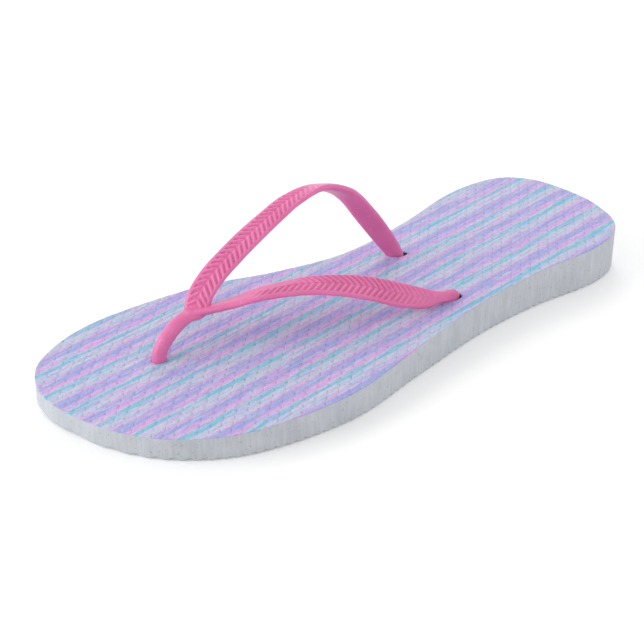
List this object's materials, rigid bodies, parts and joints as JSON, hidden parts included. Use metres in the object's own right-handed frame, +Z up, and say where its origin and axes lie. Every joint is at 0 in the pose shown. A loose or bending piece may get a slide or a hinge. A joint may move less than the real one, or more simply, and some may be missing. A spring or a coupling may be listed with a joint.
{
  "type": "flip flop",
  "caption": "Left thong sandal: wedge sole with a ribbed tread, striped textured footbed and a moulded Y-shaped rubber strap held by plugs through the sole.",
  "frame": {"origin": "on the ground under the middle of the sole's outline", "axes": "+X from heel to toe, +Y to the wearer's left (the outer side of this left shoe), +Z up"},
  "size_m": [0.255, 0.107, 0.0534],
  "materials": {
    "sole_foam": "matt speckled foam rubber",
    "footbed_print": "matt printed sheet with lengthwise stripes and a rice-grain emboss",
    "strap_rubber": "satin moulded rubber"
  },
  "bodies": {
    "root": {"sole": "sole_foam", "footbed": "footbed_print", "thong_strap": "strap_rubber"}
  },
  "joints": []
}
